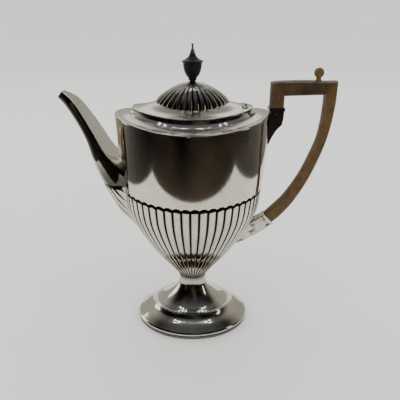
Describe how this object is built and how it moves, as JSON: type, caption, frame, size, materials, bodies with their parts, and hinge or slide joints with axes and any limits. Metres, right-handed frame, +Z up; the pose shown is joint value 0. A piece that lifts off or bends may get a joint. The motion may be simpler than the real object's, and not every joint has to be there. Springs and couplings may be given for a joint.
{
  "type": "coffee pot",
  "caption": "Oval silver coffee pot with half-reeded body, sheered rim, hinged lid with reeded dome and wooden urn finial, wooden loop handle and oval foot.",
  "frame": {"origin": "centre of the foot's underside, on the table", "axes": "+Z up, -X towards the spout, +X towards the handle"},
  "size_m": [0.2318, 0.1048, 0.26],
  "materials": {
    "silver": "polished, lightly tarnished and scratched",
    "handle_wood": "worn dark brown polish",
    "ebony": "blackened, semi-gloss"
  },
  "bodies": {
    "pot": {"base_ring": "silver", "foot": "silver", "neck_collar": "silver", "body_shell": "silver", "shoulder": "silver", "lid_seat": "silver", "spout": "silver", "strainer": "silver", "upper_socket": "silver", "upper_band": "silver", "lower_socket": "silver", "lower_band": "silver", "handle": "handle_wood", "thumb_ball": "handle_wood", "upper_rivet": "silver", "lower_rivet": "silver", "hinge_trough": "silver", "hinge_land": "silver", "hinge_pin": "silver"},
    "lid": {"lid_plate": "silver", "lid_flange": "silver", "lid_dome": "silver", "lid_knuckle": "silver", "finial_base": "ebony", "finial_urn": "ebony", "finial_cover": "ebony", "finial_cap": "silver", "finial_bolt": "silver", "finial_nut": "silver"}
  },
  "joints": [
    {"name": "lid_hinge", "type": "hinge", "parent": "pot", "child": "lid", "pos_m": [0.0433, 0, 0.2085], "axis": [0, 1, 0], "range_deg": [0, 90]}
  ]
}
